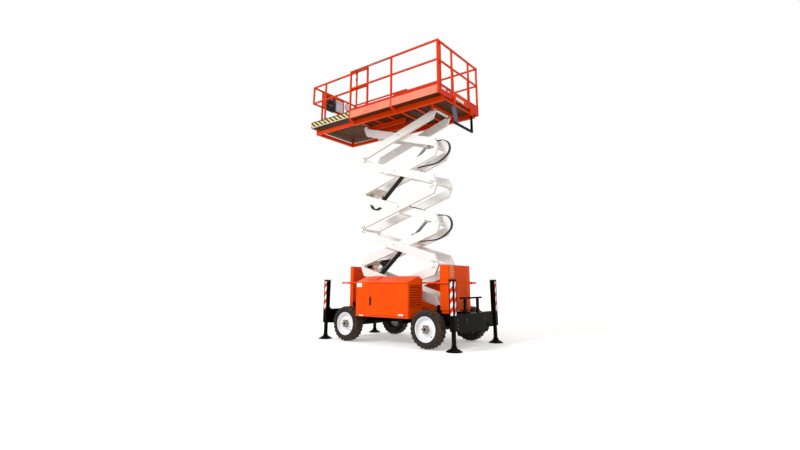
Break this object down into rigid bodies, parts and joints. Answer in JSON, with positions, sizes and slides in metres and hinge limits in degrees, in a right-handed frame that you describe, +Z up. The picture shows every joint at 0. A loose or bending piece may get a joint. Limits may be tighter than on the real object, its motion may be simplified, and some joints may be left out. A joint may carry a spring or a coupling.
{
  "type": "scissor lift",
  "caption": "Wheeled rough terrain scissor lift: crossed arms raise a guarded platform with a sliding extension, with outriggers and side engine housing.",
  "frame": {"origin": "on the ground, midway between the four outrigger legs", "axes": "+Z up, +X towards the entry end, -Y the engine side"},
  "size_m": [4.0298, 1.8316, 5.8405],
  "materials": {
    "orange": "satin",
    "platform_orange": "satin",
    "white": "satin",
    "black": "satin",
    "rubber_tyre": "matte",
    "rim_white": "satin",
    "ply": "matte",
    "rod_chrome": "polished",
    "control_black": "matte",
    "engine_grey": "matte",
    "hose_black": "matte"
  },
  "bodies": {
    "chassis": {"chassis_rails": "black", "end_beams": "black", "outrigger_sleeves": "black", "axles": "black", "pod_trays": "black", "engine_pod": "orange", "service_pod": "orange", "engine_block": "engine_grey", "end_guards": "orange", "side_bars": "orange", "entry_step": "black", "lift_base": "black"},
    "platform": {"deck_floor": "ply", "deck_frame": "platform_orange", "platform_mounts": "platform_orange", "toe_boards": "platform_orange", "guard_posts": "platform_orange", "guard_rails": "platform_orange", "entry_stiles": "platform_orange", "entry_loop": "black"},
    "extension": {"extension_floor": "platform_orange", "extension_beams": "platform_orange", "extension_posts": "platform_orange", "extension_rails": "platform_orange", "control_box": "control_black", "control_panels": "rim_white", "control_plate": "platform_orange"},
    "gate": {"entry_gate": "platform_orange"},
    "engine_door": {"engine_door": "orange"},
    "service_door": {"service_door": "orange"},
    "inner_arm_1": {"inner_arm_1": "white"},
    "outer_arm_1": {"outer_arm_1": "white"},
    "inner_arm_2": {"inner_arm_2": "white", "hoses_2": "hose_black"},
    "outer_arm_2": {"outer_arm_2": "white"},
    "inner_arm_3": {"inner_arm_3": "white"},
    "outer_arm_3": {"outer_arm_3": "white"},
    "inner_arm_4": {"inner_arm_4": "white", "hoses_4": "hose_black"},
    "outer_arm_4": {"outer_arm_4": "white"},
    "inner_arm_5": {"inner_arm_5": "white"},
    "outer_arm_5": {"outer_arm_5": "white"},
    "lower_barrel": {"lower_barrel": "black"},
    "lower_rod": {"lower_rod": "rod_chrome"},
    "upper_barrel": {"upper_barrel": "black"},
    "upper_rod": {"upper_rod": "rod_chrome"},
    "leg_left_near": {"leg_left_near": "black"},
    "wheel_left_near": {"tyre_left_near": "rubber_tyre", "rim_left_near": "rim_white"},
    "leg_left_far": {"leg_left_far": "black"},
    "wheel_left_far": {"tyre_left_far": "rubber_tyre", "rim_left_far": "rim_white"},
    "leg_right_near": {"leg_right_near": "black"},
    "wheel_right_near": {"tyre_right_near": "rubber_tyre", "rim_right_near": "rim_white"},
    "leg_right_far": {"leg_right_far": "black"},
    "wheel_right_far": {"tyre_right_far": "rubber_tyre", "rim_right_far": "rim_white"},
    "knuckle_near": {"knuckle_near": "black"},
    "knuckle_far": {"knuckle_far": "black"}
  },
  "joints": [
    {"name": "lift", "type": "hinge", "parent": "chassis", "child": "inner_arm_1", "pos_m": [0.906, 0, 0.667], "axis": [0, 1, 0], "range_deg": [-16.9, 29.8]},
    {"name": "centre_1", "type": "hinge", "parent": "inner_arm_1", "child": "outer_arm_1", "pos_m": [-0.0608, 0, 1.061], "axis": [0, 1, 0], "range_deg": [-60.6, 60.6]},
    {"name": "inner_joint_1", "type": "hinge", "parent": "inner_arm_1", "child": "inner_arm_2", "pos_m": [-1.0276, 0, 1.455], "axis": [0, 1, 0], "range_deg": [-60.6, 60.6]},
    {"name": "centre_2", "type": "hinge", "parent": "inner_arm_2", "child": "outer_arm_2", "pos_m": [-0.0608, 0, 1.849], "axis": [0, 1, 0], "range_deg": [-60.6, 60.6]},
    {"name": "inner_joint_2", "type": "hinge", "parent": "inner_arm_2", "child": "inner_arm_3", "pos_m": [0.906, 0, 2.243], "axis": [0, 1, 0], "range_deg": [-60.6, 60.6], "deforming": ["hoses_2"]},
    {"name": "centre_3", "type": "hinge", "parent": "inner_arm_3", "child": "outer_arm_3", "pos_m": [-0.0608, 0, 2.637], "axis": [0, 1, 0], "range_deg": [-60.6, 60.6]},
    {"name": "inner_joint_3", "type": "hinge", "parent": "inner_arm_3", "child": "inner_arm_4", "pos_m": [-1.0276, 0, 3.031], "axis": [0, 1, 0], "range_deg": [-60.6, 60.6]},
    {"name": "centre_4", "type": "hinge", "parent": "inner_arm_4", "child": "outer_arm_4", "pos_m": [-0.0608, 0, 3.425], "axis": [0, 1, 0], "range_deg": [-60.6, 60.6]},
    {"name": "inner_joint_4", "type": "hinge", "parent": "inner_arm_4", "child": "inner_arm_5", "pos_m": [0.906, 0, 3.819], "axis": [0, 1, 0], "range_deg": [-60.6, 60.6], "deforming": ["hoses_4"]},
    {"name": "centre_5", "type": "hinge", "parent": "inner_arm_5", "child": "outer_arm_5", "pos_m": [-0.0608, 0, 4.213], "axis": [0, 1, 0], "range_deg": [-60.6, 60.6]},
    {"name": "platform_pivot", "type": "hinge", "parent": "outer_arm_5", "child": "platform", "pos_m": [0.906, 0, 4.607], "axis": [0, 1, 0], "range_deg": [-17.9, 30.8]},
    {"name": "lower_barrel_pivot", "type": "hinge", "parent": "inner_arm_1", "child": "lower_barrel", "pos_m": [-0.70989, 0, 1.28389], "axis": [0, 1, 0], "range_deg": [-68, 40]},
    {"name": "lower_rod_slide", "type": "slide", "parent": "lower_barrel", "child": "lower_rod", "axis": [0.7512, 0, 0.6601], "range_m": [-0.364, 0.635]},
    {"name": "upper_barrel_pivot", "type": "hinge", "parent": "inner_arm_3", "child": "upper_barrel", "pos_m": [-0.70989, 0, 2.85989], "axis": [0, 1, 0], "range_deg": [-68, 40]},
    {"name": "upper_rod_slide", "type": "slide", "parent": "upper_barrel", "child": "upper_rod", "axis": [0.7512, 0, 0.6601], "range_m": [-0.364, 0.635]},
    {"name": "extension_slide", "type": "slide", "parent": "platform", "child": "extension", "axis": [1, 0, 0], "range_m": [0, 0.98]},
    {"name": "gate_hinge", "type": "hinge", "parent": "platform", "child": "gate", "pos_m": [1.3207, -0.2505, 4.9], "axis": [0, 0, 1], "range_deg": [0, 90]},
    {"name": "engine_door_hinge", "type": "hinge", "parent": "chassis", "child": "engine_door", "pos_m": [0.66, -0.889, 0.8], "axis": [0, 0, 1], "range_deg": [0, 110]},
    {"name": "service_door_hinge", "type": "hinge", "parent": "chassis", "child": "service_door", "pos_m": [0.66, 0.889, 0.8], "axis": [0, 0, -1], "range_deg": [0, 110]},
    {"name": "leg_left_near_slide", "type": "slide", "parent": "chassis", "child": "leg_left_near", "axis": [0, 0, -1], "range_m": [-0.215, 0.35]},
    {"name": "wheel_left_near_spin", "type": "hinge", "parent": "chassis", "child": "wheel_left_near", "pos_m": [-0.914, -0.76, 0.33], "axis": [0, 1, 0], "continuous": true},
    {"name": "leg_left_far_slide", "type": "slide", "parent": "chassis", "child": "leg_left_far", "axis": [0, 0, -1], "range_m": [-0.215, 0.35]},
    {"name": "wheel_left_far_spin", "type": "hinge", "parent": "chassis", "child": "wheel_left_far", "pos_m": [-0.914, 0.76, 0.33], "axis": [0, 1, 0], "continuous": true},
    {"name": "leg_right_near_slide", "type": "slide", "parent": "chassis", "child": "leg_right_near", "axis": [0, 0, -1], "range_m": [-0.215, 0.35]},
    {"name": "steer_near", "type": "hinge", "parent": "chassis", "child": "knuckle_near", "pos_m": [1.006, -0.665, 0.33], "axis": [0, 0, 1], "range_deg": [-14, 14]},
    {"name": "wheel_right_near_spin", "type": "hinge", "parent": "knuckle_near", "child": "wheel_right_near", "pos_m": [1.006, -0.76, 0.33], "axis": [0, 1, 0], "continuous": true},
    {"name": "leg_right_far_slide", "type": "slide", "parent": "chassis", "child": "leg_right_far", "axis": [0, 0, -1], "range_m": [-0.215, 0.35]},
    {"name": "steer_far", "type": "hinge", "parent": "chassis", "child": "knuckle_far", "pos_m": [1.006, 0.665, 0.33], "axis": [0, 0, 1], "range_deg": [-14, 14]},
    {"name": "wheel_right_far_spin", "type": "hinge", "parent": "knuckle_far", "child": "wheel_right_far", "pos_m": [1.006, 0.76, 0.33], "axis": [0, 1, 0], "continuous": true}
  ],
  "couplings": [
    {"joint": "centre_1", "follows": "lift", "ratio": -2},
    {"joint": "inner_joint_1", "follows": "lift", "ratio": -2},
    {"joint": "centre_2", "follows": "lift", "ratio": 2},
    {"joint": "inner_joint_2", "follows": "lift", "ratio": 2},
    {"joint": "centre_3", "follows": "lift", "ratio": -2},
    {"joint": "inner_joint_3", "follows": "lift", "ratio": -2},
    {"joint": "centre_4", "follows": "lift", "ratio": 2},
    {"joint": "inner_joint_4", "follows": "lift", "ratio": 2},
    {"joint": "centre_5", "follows": "lift", "ratio": -2},
    {"joint": "platform_pivot", "follows": "lift", "ratio": 1},
    {"joint": "lower_barrel_pivot", "follows": "lift", "ratio": -2.25},
    {"joint": "lower_rod_slide", "follows": "lift", "m_per_rad": 1.2},
    {"joint": "upper_barrel_pivot", "follows": "lift", "ratio": -2.25},
    {"joint": "upper_rod_slide", "follows": "lift", "m_per_rad": 1.2},
    {"joint": "steer_far", "follows": "steer_near", "ratio": 1}
  ]
}
